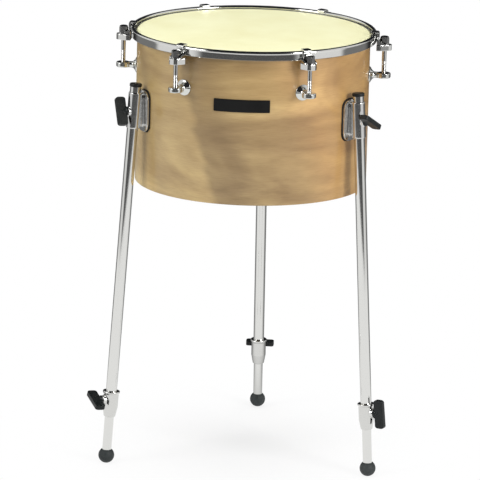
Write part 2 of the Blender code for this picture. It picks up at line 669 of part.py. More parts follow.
def build_body(drum):
    """Shell, skin, hoops and badge."""
    veneer = finish("beech_veneer", (0.62, 0.40, 0.20), 0.32)
    calfskin = finish("cream_skin", (0.90, 0.86, 0.62), 0.45)
    alloy = finish("flesh_hoop_alloy", (0.70, 0.70, 0.68), 0.40, 1.0)
    chrome = finish("hoop_chrome", (0.78, 0.78, 0.76), 0.10, 1.0)
    lacquer = finish("badge_lacquer", (0.02, 0.02, 0.02), 0.30)
    node("shell", shell_mesh(), veneer, drum)
    node("drum_skin", skin_mesh(), calfskin, drum)
    node("flesh_hoop", flesh_hoop_mesh(), alloy, drum)
    node("counter_hoop", counter_hoop_mesh(), chrome, drum)
    front = empty("front_station", drum, rotation=(0.0, 0.0, math.radians(-90)))
    node("badge_plate", badge_mesh(), lacquer, front)


def build_tension_units(drum):
    """Six claws with their screws, lugs and nuts."""
    claw_chrome = finish("claw_chrome", (0.76, 0.76, 0.74), 0.14, 1.0)
    screw_chrome = finish("screw_chrome", (0.72, 0.72, 0.72), 0.16, 1.0)
    lug_chrome = finish("lug_chrome", (0.76, 0.77, 0.74), 0.12, 1.0)
    zinc = finish("nut_zinc", (0.62, 0.62, 0.60), 0.40, 1.0)
    claw = claw_mesh()
    screw = tension_screw_mesh()
    lug = lug_mesh()
    nut = lug_nut_mesh()
    for number, azimuth in enumerate(UNIT_AZIMUTHS, start=1):
        turn = (0.0, 0.0, math.radians(azimuth - 90))
        station = empty(f"tension_station_{number}", drum, rotation=turn)
        node(f"claw_{number}", claw, claw_chrome, station)
        node(f"tension_screw_{number}", screw, screw_chrome, station, (SCREW_FROM_AXIS, 0.0, 0.0))
        node(f"lug_{number}", lug, lug_chrome, station)
        node(f"lug_nut_{number}", nut, zinc, station)


def build_legs(drum):
    """Three legs with their brackets, clamps, wing bolts and feet."""
    gasket_black = finish("gasket_black", (0.03, 0.03, 0.03), 0.75)
    bracket_chrome = finish("bracket_chrome", (0.74, 0.74, 0.73), 0.15, 1.0)
    steel = finish("backing_steel", (0.55, 0.55, 0.54), 0.45, 1.0)
    wing_black = finish("wing_black", (0.025, 0.03, 0.03), 0.42)
    tube_chrome = finish("tube_chrome", (0.80, 0.80, 0.78), 0.09, 1.0)
    cap_black = finish("cap_black", (0.02, 0.02, 0.02), 0.50)
    clamp_chrome = finish("clamp_chrome", (0.74, 0.74, 0.72), 0.18, 1.0)
    rubber = finish("foot_rubber", (0.05, 0.06, 0.06), 0.62)
    gasket = gasket_mesh()
    bracket = bracket_mesh()
    backing = backing_mesh()
    tube = tube_mesh(TUBE_OUTSIDE, TUBE_INSIDE, TUBE_BOTTOM, TUBE_TOP, CLAMP_BOLT)
    extension = tube_mesh(EXTENSION_OUTSIDE, EXTENSION_INSIDE, EXTENSION_BOTTOM, EXTENSION_TOP)
    cap = cap_mesh()
    clamp = clamp_mesh()
    foot = foot_mesh()
    bracket_wing = wing_bolt_mesh(TUBE_OUTSIDE + GAP, BOSS_REACH)
    clamp_wing = wing_bolt_mesh(EXTENSION_OUTSIDE + GAP, CLAMP_BOSS_REACH)
    for side, azimuth in LEG_AZIMUTHS.items():
        turn = (0.0, 0.0, math.radians(azimuth - 90))
        station = empty(f"leg_station_{side}", drum, rotation=turn)
        node(f"bracket_gasket_{side}", gasket, gasket_black, station)
        node(f"leg_bracket_{side}", bracket, bracket_chrome, station)
        node(f"bracket_backing_{side}", backing, steel, station)
        middle = (LEG_FROM_AXIS, 0.0, BRACKET_HEIGHT)
        leg = empty(f"leg_axis_{side}", station, middle, (0.0, -LEG_SPLAY, 0.0))
        node(f"leg_tube_{side}", tube, tube_chrome, leg)
        node(f"leg_cap_{side}", cap, cap_black, leg)
        node(f"leg_clamp_{side}", clamp, clamp_chrome, leg)
        node(f"leg_extension_{side}", extension, tube_chrome, leg)
        upright = empty(f"foot_axis_{side}", leg, (0.0, 0.0, foot_along_leg()), (0.0, LEG_SPLAY, 0.0))
        node(f"foot_{side}", foot, rubber, upright)
        turned_by = (math.radians(BRACKET_WING_TURN[side]), 0.0, 0.0)
        bolt = empty(f"bracket_bolt_axis_{side}", leg, rotation=turned_by)
        node(f"bracket_wing_bolt_{side}", bracket_wing, wing_black, bolt)
        turned_by = (math.radians(CLAMP_WING_TURN[side]), 0.0, 0.0)
        bolt = empty(f"clamp_bolt_axis_{side}", leg, (0.0, 0.0, CLAMP_BOLT), turned_by)
        node(f"clamp_wing_bolt_{side}", clamp_wing, wing_black, bolt)


def build():
    """Builds the whole drum about its own axis."""
    clear_scene()
    drum = empty("drum_axis", location=(0.0, AXIS_Y, 0.0))
    build_body(drum)
    build_tension_units(drum)
    build_legs(drum)


build()
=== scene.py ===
"""The kettledrum as it looks.

It has a veneered shell, a cream skin, a chrome hoop, claws, lugs and legs, and black fittings.
"""

import math

import bmesh
import bpy
from mathutils import Matrix, Vector


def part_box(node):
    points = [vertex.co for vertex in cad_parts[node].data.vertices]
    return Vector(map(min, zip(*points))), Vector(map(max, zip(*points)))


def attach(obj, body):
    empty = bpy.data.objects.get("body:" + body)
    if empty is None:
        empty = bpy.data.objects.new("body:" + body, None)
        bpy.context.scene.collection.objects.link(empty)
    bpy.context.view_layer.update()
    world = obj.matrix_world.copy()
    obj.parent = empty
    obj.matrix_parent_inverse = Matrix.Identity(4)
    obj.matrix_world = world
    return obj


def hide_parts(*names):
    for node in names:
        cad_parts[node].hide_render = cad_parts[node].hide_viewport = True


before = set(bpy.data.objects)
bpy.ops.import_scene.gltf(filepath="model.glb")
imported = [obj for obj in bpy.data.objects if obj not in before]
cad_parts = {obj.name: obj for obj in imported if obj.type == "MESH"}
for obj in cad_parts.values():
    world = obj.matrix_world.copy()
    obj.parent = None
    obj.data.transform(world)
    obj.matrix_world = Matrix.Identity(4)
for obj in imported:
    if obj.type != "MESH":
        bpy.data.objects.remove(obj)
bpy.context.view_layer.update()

# The photographer's place: in front of the drum, a little to its right and well above it,
# with a long lens, so that the legs hardly converge. The camera hung a little crooked.
drum_axis_y = (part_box("shell")[0].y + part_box("shell")[1].y) / 2
camera_turn = math.radians(5.0753)
camera_height = 2.0915
camera_distance = 6.9009
camera_pitch = math.radians(13.97)
camera_yaw = math.radians(-0.1265)
camera_roll = math.radians(1.3989)

camera_data = bpy.data.cameras.new("long_lens")
camera_data.sensor_width = 36.0
camera_data.lens = 307.26
camera = bpy.data.objects.new("camera", camera_data)
bpy.context.scene.collection.objects.link(camera)
heading = camera_yaw - camera_turn
ahead = Vector((math.sin(heading) * math.cos(camera_pitch), math.cos(heading) * math.cos(camera_pitch),
                -math.sin(camera_pitch)))
right = ahead.cross(Vector((0.0, 0.0, 1.0))).normalized()
up = right.cross(ahead)
rolled_right = right * math.cos(camera_roll) + up * math.sin(camera_roll)
rolled_up = up * math.cos(camera_roll) - right * math.sin(camera_roll)
stand = Vector((math.sin(camera_turn) * camera_distance,
                drum_axis_y - math.cos(camera_turn) * camera_distance, camera_height))
camera.matrix_world = Matrix.Translation(stand) @ Matrix(
    (rolled_right, rolled_up, -ahead)).transposed().to_4x4()
bpy.context.scene.camera = camera
bpy.context.scene.view_settings.view_transform = "Standard"


# The studio: a white sweep, a soft lamp on each side with the right one brighter, one above and
# a small one over the front rim. The camera sees white all round. Chrome mirrors the white floor
# near the drum, the pale sides of the room, and its two unlit ends as black bands.
def new_material(name):
    """An empty material with its output, and its tree."""
    material = bpy.data.materials.new(name)
    material.use_nodes = True
    tree = material.node_tree
    tree.nodes.clear()
    add(tree, "ShaderNodeOutputMaterial", "output")
    return material, tree


def add(tree, kind, name, settings=None, **values):
    """Adds a shader node. Values are given by socket name, with underscores for spaces."""
    node = tree.nodes.new(kind)
    node.name = name
    for key, value in (settings or {}).items():
        setattr(node, key, value)
    for key, value in values.items():
        node.inputs[key.replace("_", " ")].default_value = value
    return node


def maths(tree, name, operation, *numbers):
    """Adds a Math node. A number is None where a link gives the value."""
    node = add(tree, "ShaderNodeMath", name, {"operation": operation})
    for socket, number in zip(node.inputs, numbers):
        if number is not None:
            socket.default_value = number
    return node


def smooth(tree, name, start, end, low=0.0, high=1.0):
    """Adds a smooth step from low at start to high at end."""
    return add(tree, "ShaderNodeMapRange", name, {"interpolation_type": "SMOOTHSTEP"},
               From_Min=start, From_Max=end, To_Min=low, To_Max=high)


def link(tree, *pairs):
    """Links sockets. Each pair is (node, output name, node, input name)."""
    for giver, output, taker, entry in pairs:
        tree.links.new(giver.outputs[output], taker.inputs[entry])


world = bpy.data.worlds.new("studio")
bpy.context.scene.world = world
world.use_nodes = True
room = world.node_tree
room.nodes.clear()
side_from = 0.62
side_full = 0.80
side_tone = 0.85
room_white = (1.0, 1.0, 1.0, 1.0)
room_dark = (0.020, 0.021, 0.023, 1.0)
seen_by = add(room, "ShaderNodeLightPath", "seen_by")
looking = add(room, "ShaderNodeTexCoord", "looking")
parts = add(room, "ShaderNodeSeparateXYZ", "parts")
level = add(room, "ShaderNodeVectorMath", "level", {"operation": "MULTIPLY"})
level.inputs[1].default_value = (1.0, 1.0, 0.0)
run = add(room, "ShaderNodeVectorMath", "run", {"operation": "LENGTH"})
share = maths(room, "share", "DIVIDE")
sideways = maths(room, "sideways", "ABSOLUTE")
beside = smooth(room, "beside", side_from, side_full, high=side_tone)
ceiling = smooth(room, "ceiling", 0.85, 0.55)
side_wall = maths(room, "side_wall", "MULTIPLY")
above_floor = smooth(room, "above_floor", -0.03, 0.03)
unlit = add(room, "ShaderNodeMath", "unlit", {"operation": "SUBTRACT", "use_clamp": True})
room_tone = add(room, "ShaderNodeMix", "room_tone", {"data_type": "RGBA"})
room_tone.inputs[6].default_value = room_white
room_tone.inputs[7].default_value = room_dark
ambient = add(room, "ShaderNodeBackground", "ambient", Color=(0.95, 0.97, 1.0, 1.0), Strength=0.42)
backdrop = add(room, "ShaderNodeBackground", "backdrop", Color=room_white, Strength=1.0)
reflected = add(room, "ShaderNodeBackground", "reflected", Strength=0.95)
glossy_or_not = add(room, "ShaderNodeMixShader", "glossy_or_not")
camera_or_not = add(room, "ShaderNodeMixShader", "camera_or_not")
world_out = add(room, "ShaderNodeOutputWorld", "output")
link(room, (looking, "Generated", parts, 0), (looking, "Generated", level, 0), (level, "Vector", run, 0),
     (parts, "X", share, 0), (run, "Value", share, 1), (share, 0, sideways, 0),
     (sideways, 0, beside, "Value"), (parts, "Z", ceiling, "Value"), (beside, "Result", side_wall, 0),
     (ceiling, "Result", side_wall, 1), (parts, "Z", above_floor, "Value"),
     (above_floor, "Result", unlit, 0), (side_wall, 0, unlit, 1), (unlit, 0, room_tone, 0),
     (room_tone, 2, reflected, "Color"), (seen_by, "Is Glossy Ray", glossy_or_not, 0),
     (ambient, 0, glossy_or_not, 1), (reflected, 0, glossy_or_not, 2),
     (seen_by, "Is Camera Ray", camera_or_not, 0), (glossy_or_not, 0, camera_or_not, 1),
     (backdrop, 0, camera_or_not, 2), (camera_or_not, 0, world_out, 0))

sweep_half = 9.0
sweep_mesh = bpy.data.meshes.new("sweep")
sweep_mesh.from_pydata([(-sweep_half, -sweep_half, 0.0), (sweep_half, -sweep_half, 0.0),
                        (sweep_half, sweep_half, 0.0), (-sweep_half, sweep_half, 0.0)], [], [(0, 1, 2, 3)])
sweep = bpy.data.objects.new("sweep", sweep_mesh)
bpy.context.scene.collection.objects.link(sweep)
paper, paper_tree = new_material("white_paper")
paper_shader = add(paper_tree, "ShaderNodeBsdfPrincipled", "paper", Base_Color=(0.93, 0.93, 0.93, 1.0),
                   Roughness=0.9)
paper_shader.inputs["Specular IOR Level"].default_value = 0.1
paper_place = add(paper_tree, "ShaderNodeTexCoord", "paper_place")
paper_far = add(paper_tree, "ShaderNodeVectorMath", "paper_far", {"operation": "LENGTH"})
paper_fade = smooth(paper_tree, "paper_fade", -0.40, 0.45)
paper_end = smooth(paper_tree, "paper_end", 2.90, 2.45, low=0.10)
paper_across = maths(paper_tree, "paper_across", "DIVIDE")
paper_aside = maths(paper_tree, "paper_aside", "ABSOLUTE")
paper_side = smooth(paper_tree, "paper_side", side_from, side_full, high=side_tone)
paper_reach = maths(paper_tree, "paper_reach", "MAXIMUM")
paper_path = add(paper_tree, "ShaderNodeLightPath", "paper_path")
paper_sides = add(paper_tree, "ShaderNodeSeparateXYZ", "paper_sides")
paper_front = smooth(paper_tree, "paper_front", 0.50, 0.0, low=0.25)
paper_glow = maths(paper_tree, "paper_glow", "MULTIPLY")
paper_seen = maths(paper_tree, "paper_seen", "MULTIPLY")
paper_shown = maths(paper_tree, "paper_shown", "MAXIMUM")
paper_level = maths(paper_tree, "paper_level", "MAXIMUM")
paper_white = add(paper_tree, "ShaderNodeEmission", "paper_white", Color=room_white, Strength=1.0)
paper_mix = add(paper_tree, "ShaderNodeMixShader", "paper_mix")
link(paper_tree, (paper_place, "Object", paper_far, 0), (paper_far, "Value", paper_fade, "Value"),
     (paper_place, "Object", paper_sides, 0), (paper_sides, "Y", paper_front, "Value"),
     (paper_far, "Value", paper_end, "Value"), (paper_front, "Result", paper_glow, 0),
     (paper_sides, "X", paper_across, 0), (paper_far, "Value", paper_across, 1),
     (paper_across, 0, paper_aside, 0), (paper_aside, 0, paper_side, "Value"),
     (paper_end, "Result", paper_reach, 0), (paper_side, "Result", paper_reach, 1),
     (paper_reach, 0, paper_glow, 1), (paper_glow, 0, paper_level, 0),
     (paper_path, "Is Camera Ray", paper_level, 1), (paper_level, 0, paper_white, "Strength"),
     (paper_fade, "Result", paper_seen, 0), (paper_path, "Is Camera Ray", paper_seen, 1),
     (paper_seen, 0, paper_shown, 0), (paper_path, "Is Glossy Ray", paper_shown, 1),
     (paper_shown, 0, paper_mix, 0), (paper_shader, "BSDF", paper_mix, 1), (paper_white, 0, paper_mix, 2),
     (paper_mix, 0, paper_tree.nodes["output"], "Surface"))
sweep_mesh.materials.append(paper)
lamps_aim_at = Vector((0.0, drum_axis_y, 0.55))


def soft_lamp(name, place, size, power, mirrored=True):
    """A soft lamp that points at the drum's shell, and that chrome may show."""
    data = bpy.data.lights.new(name, "AREA")
    data.shape = "RECTANGLE"
    data.size = size[0]
    data.size_y = size[1]
    data.energy = power
    lamp = bpy.data.objects.new(name, data)
    bpy.context.scene.collection.objects.link(lamp)
    lamp.location = place
    lamp.visible_glossy = mirrored
    lamp.rotation_euler = (lamps_aim_at - Vector(place)).to_track_quat("-Z", "Y").to_euler()


soft_lamp("left_lamp", (-2.6, -1.8, 2.2), (1.4, 1.4), 42.0)
soft_lamp("right_lamp", (2.6, -2.0, 1.6), (1.2, 1.2), 64.0)
soft_lamp("top_lamp", (0.0, 0.6, 3.0), (2.0, 2.0), 34.0, mirrored=False)
soft_lamp("rim_lamp", (0.0, -0.75, 1.75), (0.5, 0.3), 4.0, mirrored=False)

# The shell: plies of beech bent round and glued, open at the bottom, with a figured veneer
# outside whose grain runs round the drum, under a satin lacquer. The leaves of the veneer
# differ in tone, and meet in slanted edges. A painted highlight lightens the veneer on the
# drum's left side.
veneer, tree = new_material("beech_veneer")


def stretched_noise(tree, source, name, stretch, **values):
    """Adds a noise over a place that is stretched along each axis."""
    scale = add(tree, "ShaderNodeVectorMath", name + "_scale", {"operation": "MULTIPLY"})
    scale.inputs[1].default_value = stretch
    noise = add(tree, "ShaderNodeTexNoise", name, Scale=1.0, **values)
    link(tree, (source, "Vector", scale, 0), (scale, "Vector", noise, "Vector"))
    return noise


def ramp(tree, name, giver, *stops):
    """Adds a colour ramp through (position, colour) stops, from the first to the last."""
    node = add(tree, "ShaderNodeValToRGB", name)
    elements = node.color_ramp.elements
    elements[0].position = stops[0][0]
    elements[1].position = stops[-1][0]
    for position, colour in stops[1:-1]:
        elements.new(position)
    for element, (position, colour) in zip(elements, stops):
        element.color = (*colour, 1.0)
    tree.links.new(giver, node.inputs["Fac"])
    return node.outputs["Color"]


def tinted(tree, name, base, tint, amount=1.0):
    """Multiplies a colour by a tint, and returns the result's socket."""
    node = add(tree, "ShaderNodeMix", name, {"data_type": "RGBA", "blend_type": "MULTIPLY"})
    node.inputs[0].default_value = amount
    tree.links.new(base, node.inputs[6])
    tree.links.new(tint, node.inputs[7])
    return node.outputs[2]


veneer_radius = 0.2
leaf_slant = 0.26
leaf_start = 0.316
leaf_waver = 0.05
place = add(tree, "ShaderNodeTexCoord", "place")
apart = add(tree, "ShaderNodeSeparateXYZ", "apart")
round_it = maths(tree, "round_it", "ARCTAN2")
along = maths(tree, "along", "MULTIPLY", None, veneer_radius)
unrolled = add(tree, "ShaderNodeCombineXYZ", "unrolled")
link(tree, (place, "Object", apart, "Vector"), (apart, "Y", round_it, 0), (apart, "X", round_it, 1),
     (round_it, 0, along, 0), (along, 0, unrolled, "X"), (apart, "Z", unrolled, "Z"))
waver = stretched_noise(tree, unrolled, "waver", (5.0, 1.0, 26.0), Detail=4.0, Roughness=0.55)
figure = stretched_noise(tree, unrolled, "figure", (3.2, 1.0, 9.0), Detail=3.0, Roughness=0.5,
                         Distortion=1.6)
pores = stretched_noise(tree, unrolled, "pores", (45.0, 1.0, 900.0), Detail=5.0, Roughness=0.7)
tone = ramp(tree, "tone", figure.outputs["Fac"], (0.32, (0.34, 0.215, 0.090)), (0.68, (0.58, 0.405, 0.185)))
streak = ramp(tree, "streak", waver.outputs["Fac"], (0.38, (0.84, 0.80, 0.74)), (0.60, (1.0, 1.0, 1.0)))
pore_tone = ramp(tree, "pore_tone", pores.outputs["Fac"],
                 (0.30, (0.80, 0.76, 0.70)), (0.55, (1.0, 1.0, 1.0)))
streaked = tinted(tree, "streaked", tone, streak)
pored = tinted(tree, "pored", streaked, pore_tone, 0.8)
turn_share = maths(tree, "turn_share", "MULTIPLY_ADD", None, 1.0 / math.tau, leaf_start)
slant = maths(tree, "slant", "MULTIPLY_ADD", None, leaf_slant)
leaf_edge = maths(tree, "leaf_edge", "MULTIPLY_ADD", None, leaf_waver)
link(tree, (round_it, 0, turn_share, 0), (apart, "Z", slant, 0), (turn_share, 0, slant, 2),
     (waver, "Fac", leaf_edge, 0), (slant, 0, leaf_edge, 2))
# The leaf ramp gives the leaves their tones and is warmer towards the drum's right. Its pale stop at 0.300
# is a painted highlight that lightens the left side as if light caught it there.
leaf_tones_and_painted_light = ramp(tree, "leaf_tones_and_painted_light", leaf_edge.outputs[0],
              (0.0, (1.0, 1.0, 1.0)), (0.300, (1.60, 1.72, 1.75)), (0.345, (1.06, 1.10, 1.05)),
              (0.432, (0.98, 1.00, 0.95)), (0.442, (0.66, 0.66, 0.62)), (0.475, (0.68, 0.68, 0.65)),
              (0.510, (0.90, 0.92, 0.88)), (0.560, (1.00, 0.99, 0.93)), (0.605, (1.18, 1.05, 0.88)),
              (0.720, (1.10, 0.97, 0.80)), (1.0, (1.0, 1.0, 1.0)))
veneer_with_painted_light = tinted(tree, "veneer_with_painted_light", pored, leaf_tones_and_painted_light)
lacquer = add(tree, "ShaderNodeBsdfPrincipled", "lacquer", Roughness=0.38)
lacquer.inputs["Coat Weight"].default_value = 0.5
lacquer.inputs["Coat Roughness"].default_value = 0.16
grain_bump = add(tree, "ShaderNodeBump", "grain_bump", Strength=0.12, Distance=0.0004)
link(tree, (pores, "Fac", grain_bump, "Height"), (grain_bump, "Normal", lacquer, "Normal"),
     (lacquer, "BSDF", tree.nodes["output"], "Surface"))
tree.links.new(veneer_with_painted_light, lacquer.inputs["Base Color"])


def turned(profile, steps, move=None):
    """Turns (radius, height) pairs about Z into points and faces.

    A profile that starts and ends on the axis gives a solid, and any other gives a ring.
    """
    solid = profile[0][0] == 0.0
    points = []
    rings = []
    for radius, height in profile:
        first = len(points)
        if radius == 0.0:
            points.append(Vector((0.0, 0.0, height)))
            rings.append([first])
            continue
        angles = [math.tau * step / steps for step in range(steps)]
        points += [Vector((radius * math.cos(a), radius * math.sin(a), height)) for a in angles]
        rings.append(list(range(first, first + steps)))
    pairs = list(zip(rings, rings[1:]))
    if not solid:
        pairs.append((rings[-1], rings[0]))
    faces = []
    for low, high in pairs:
        for step in range(steps):
            after = (step + 1) % steps
            corners = [low[step % len(low)], low[after % len(low)]]
            corners += [high[after % len(high)], high[step % len(high)]]
            faces.append(list(dict.fromkeys(corners)))
    move = move or Matrix.Identity(4)
    return [move @ point for point in points], faces


def arc(centre, radius, start, end, steps):
    """Points along an arc, with its angles in degrees."""
    angles = [math.radians(start + (end - start) * step / steps) for step in range(steps + 1)]
    return [(centre[0] + radius * math.cos(a), centre[1] + radius * math.sin(a)) for a in angles]


def mesh_from(name, solids):
    """One mesh from several (points, faces), with every face turned outwards."""
    shape = bmesh.new()
    for points, faces in solids:
        corners = [shape.verts.new(point) for point in points]
        for face in faces:
            shape.faces.new([corners[index] for index in face])
    bmesh.ops.recalc_face_normals(shape, faces=shape.faces)
    mesh = bpy.data.meshes.new(name)
    shape.to_mesh(mesh)
    shape.free()
    return mesh


def put(name, mesh, material, body, node, place=None):
    """Sets a piece in its place, on the body that carries it and instead of its plain solid."""
    if not mesh.materials:
        mesh.materials.append(material)
    mesh.shade_smooth()
    mesh.set_sharp_from_angle(angle=math.radians(35))
    thing = bpy.data.objects.new(name, mesh)
    bpy.context.scene.collection.objects.link(thing)
    thing.matrix_world = place or on_the_drum(0)
    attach(thing, body)
    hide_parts(node)
    return thing


def on_the_drum(azimuth):
    """A place round the drum: X points outwards. The front is at 0 and the right at 90."""
    return Matrix.Translation((0.0, drum_axis_y, 0.0)) @ Matrix.Rotation(math.radians(azimuth - 90), 4, "Z")


shell_low, shell_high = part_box("shell")
shell_radius = (shell_high.x - shell_low.x) / 2
shell_wall = 0.0075
bearing_round = 0.0035
inner_break = 0.0010
outer_break = 0.0012
outer_inset = 0.0003
outer_rise = 0.0004
shell_steps = 256
shell_inside = shell_radius - shell_wall
rim_centre = (shell_radius - bearing_round, shell_high.z - bearing_round)
shell_profile = [(shell_inside, shell_low.z + inner_break), (shell_inside + inner_break, shell_low.z)]
shell_profile += [(shell_radius - outer_break, shell_low.z)]
shell_profile += [(shell_radius - outer_inset, shell_low.z + outer_rise)]
shell_profile += [(shell_radius, shell_low.z + outer_break)] + arc(rim_centre, bearing_round, 0, 90, 6)
shell_profile += [(shell_inside, shell_high.z - (shell_wall - bearing_round))]
put("veneered_shell", mesh_from("veneered_shell", [turned(shell_profile, shell_steps)]), veneer, "drum",
    "shell")

# The skin: a cream head drawn flat over the shell's edge, faintly mottled, with a soft gloss.
head_finish, tree = new_material("cream_skin")
place = add(tree, "ShaderNodeTexCoord", "place")
mottle = add(tree, "ShaderNodeTexNoise", "mottle", Scale=9.0, Detail=5.0, Roughness=0.6)
fibres = add(tree, "ShaderNodeTexNoise", "fibres", Scale=420.0, Detail=2.0)
cream = ramp(tree, "cream", mottle.outputs["Fac"], (0.30, (0.80, 0.77, 0.45)), (0.70, (0.88, 0.87, 0.57)))
film = add(tree, "ShaderNodeBsdfPrincipled", "film", Roughness=0.42)
fibre_bump = add(tree, "ShaderNodeBump", "fibre_bump", Strength=0.08, Distance=0.0002)
tree.links.new(cream, film.inputs["Base Color"])
link(tree, (place, "Object", mottle, "Vector"), (place, "Object", fibres, "Vector"),
     (fibres, "Fac", fibre_bump, "Height"), (fibre_bump, "Normal", film, "Normal"),
     (film, "BSDF", tree.nodes["output"], "Surface"))
skin_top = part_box("drum_skin")[1].z
skin_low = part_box("drum_skin")[0].z
skin_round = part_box("drum_skin")[1].x - shell_radius + bearing_round
skin_thickness = 0.0005
skin_under = skin_round - skin_thickness
skin_profile = [(0.0, skin_top - skin_thickness)] + arc(rim_centre, skin_under, 90, 0, 8)
skin_profile += [(rim_centre[0] + skin_under, skin_low), (rim_centre[0] + skin_round, skin_low)]
skin_profile += arc(rim_centre, skin_round, 0, 90, 8) + [(0.0, skin_top)]
put("drum_head", mesh_from("drum_head", [turned(skin_profile, shell_steps)]), head_finish, "drum",
    "drum_skin")

# All the bright metal: chrome over steel or over castings. One group gives every plating its
# haze of handling marks, and each piece has its own colour and polish.
haze = bpy.data.node_groups.new("handling_haze", "ShaderNodeTree")
for entry, low, high in (("Marks Scale", 40.0, 0.0), ("Polish", 0.08, 0.0), ("Haze", 0.08, 0.0)):
    haze.interface.new_socket(entry, in_out="INPUT", socket_type="NodeSocketFloat").default_value = low
haze.interface.new_socket("Roughness", in_out="OUTPUT", socket_type="NodeSocketFloat")
haze.interface.new_socket("Height", in_out="OUTPUT", socket_type="NodeSocketFloat")
haze_in = add(haze, "NodeGroupInput", "given")
haze_out = add(haze, "NodeGroupOutput", "result")
haze_place = add(haze, "ShaderNodeTexCoord", "place")
marks = add(haze, "ShaderNodeTexNoise", "marks", Detail=4.0, Roughness=0.6)
mark_span = maths(haze, "mark_span", "MULTIPLY_ADD")
haze.links.new(haze_place.outputs["Object"], marks.inputs["Vector"])
haze.links.new(haze_in.outputs["Marks Scale"], marks.inputs["Scale"])
haze.links.new(marks.outputs["Fac"], mark_span.inputs[0])
haze.links.new(haze_in.outputs["Haze"], mark_span.inputs[1])
haze.links.new(haze_in.outputs["Polish"], mark_span.inputs[2])
haze.links.new(mark_span.outputs[0], haze_out.inputs["Roughness"])
haze.links.new(marks.outputs["Fac"], haze_out.inputs["Height"])


def plating(name, colour, polish, haze_amount, marks_scale):
    """A plated metal with its own colour, polish and marks."""
    material, tree = new_material(name)
    group = add(tree, "ShaderNodeGroup", "haze", {"node_tree": haze})
    group.inputs["Marks Scale"].default_value = marks_scale
    group.inputs["Polish"].default_value = polish
    group.inputs["Haze"].default_value = haze_amount
    metal = add(tree, "ShaderNodeBsdfPrincipled", "metal", Base_Color=(*colour, 1.0), Metallic=1.0)
    bump = add(tree, "ShaderNodeBump", "bump", Strength=0.05, Distance=0.0002)
    link(tree, (group, "Roughness", metal, "Roughness"), (group, "Height", bump, "Height"),
         (bump, "Normal", metal, "Normal"), (metal, "BSDF", tree.nodes["output"], "Surface"))
    return material


# The counter hoop: a chromed steel band, bent in a ring and welded, with a round bead rolled
# along its top edge. It sits over the flesh hoop and presses the skin down.
hoop_low, hoop_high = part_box("counter_hoop")
hoop_outside = (hoop_high.x - hoop_low.x) / 2
bead = 0.0036
bead_centre = (0.2075, hoop_high.z - bead)
band_thickness = 0.0028
band_inside = hoop_outside - band_thickness
band_to_bead = 0.0022
inner_edge = 0.0004
outer_edge = 0.0006
hoop_steps = 288
hoop_chrome = plating("hoop_chrome", (0.74, 0.74, 0.72), 0.05, 0.07, 30.0)
hoop_profile = [(band_inside, hoop_low.z + inner_edge), (band_inside + inner_edge, hoop_low.z)]
hoop_profile += [(hoop_outside - outer_edge, hoop_low.z), (hoop_outside, hoop_low.z + outer_edge)]
hoop_profile += [(hoop_outside, bead_centre[1] - band_to_bead)] + arc(bead_centre, bead, -18, 252, 18)
hoop_profile += [(band_inside, bead_centre[1] - bead)]
put("rolled_hoop", mesh_from("rolled_hoop", [turned(hoop_profile, hoop_steps)]), hoop_chrome, "hoop",
    "counter_hoop")


def dress(names, material):
    """Gives CAD nodes their finish."""
    for name in names:
        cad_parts[name].data.materials.clear()
        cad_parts[name].data.materials.append(material)


dress(["flesh_hoop"], plating("flesh_hoop_alloy", (0.60, 0.60, 0.58), 0.35, 0.15, 60.0))


# Six claws, die cast and chromed: each hooks over the hoop, widens downwards to its flange,
# and has a rib at each side of the screw.
def prism(outline, low, high, along="Z", move=None):
    """Extrudes an outline along an axis into points and faces."""
    spots = {"X": lambda a, b, c: (c, a, b), "Y": lambda a, b, c: (a, c, b), "Z": lambda a, b, c: (a, b, c)}
    count = len(outline)
    move = move or Matrix.Identity(4)
    points = [move @ Vector(spots[along](a, b, level)) for level in (low, high) for a, b in outline]
    faces = [list(range(count)), list(range(count, 2 * count))]
    faces += [[step, (step + 1) % count, count + (step + 1) % count, count + step] for step in range(count)]
    return points, faces


def circle(radius, steps, centre=(0.0, 0.0)):
    """Points round a circle."""
    return arc(centre, radius, 0, 360 - 360 / steps, steps - 1)


def with_tools(name, base, tools):
    """Applies (operation, mesh) pairs to a mesh with Booleans."""
    things = [bpy.data.objects.new("blank", mesh) for mesh in [base] + [mesh for operation, mesh in tools]]
    for thing in things:
        bpy.context.scene.collection.objects.link(thing)
    for (operation, mesh), thing in zip(tools, things[1:]):
        modifier = things[0].modifiers.new("tool", "BOOLEAN")
        modifier.solver = "EXACT"
        modifier.operation = operation
        modifier.object = thing
    return baked(name, things)


def baked(name, things):
    """The first object's mesh with its modifiers applied, once all of them are removed."""
    graph = bpy.context.evaluated_depsgraph_get()
    mesh = bpy.data.meshes.new_from_object(things[0].evaluated_get(graph))
    mesh.name = name
    for thing in things:
        bpy.data.objects.remove(thing, do_unlink=True)
    return mesh


def cast(name, solids, cutters, voxel, rounds):
    """Melts solids into one casting with softened edges, and then drills it."""
    blank = bpy.data.objects.new("blank", mesh_from("blank", solids))
    bpy.context.scene.collection.objects.link(blank)
    melt = blank.modifiers.new("melt", "REMESH")
    melt.mode = "VOXEL"
    melt.voxel_size = voxel
    soften = blank.modifiers.new("soften", "SMOOTH")
    soften.factor = 0.5
    soften.iterations = rounds
    body = baked(name, [blank])
    return with_tools(name, body, [("DIFFERENCE", mesh_from("drill", [cutter])) for cutter in cutters])


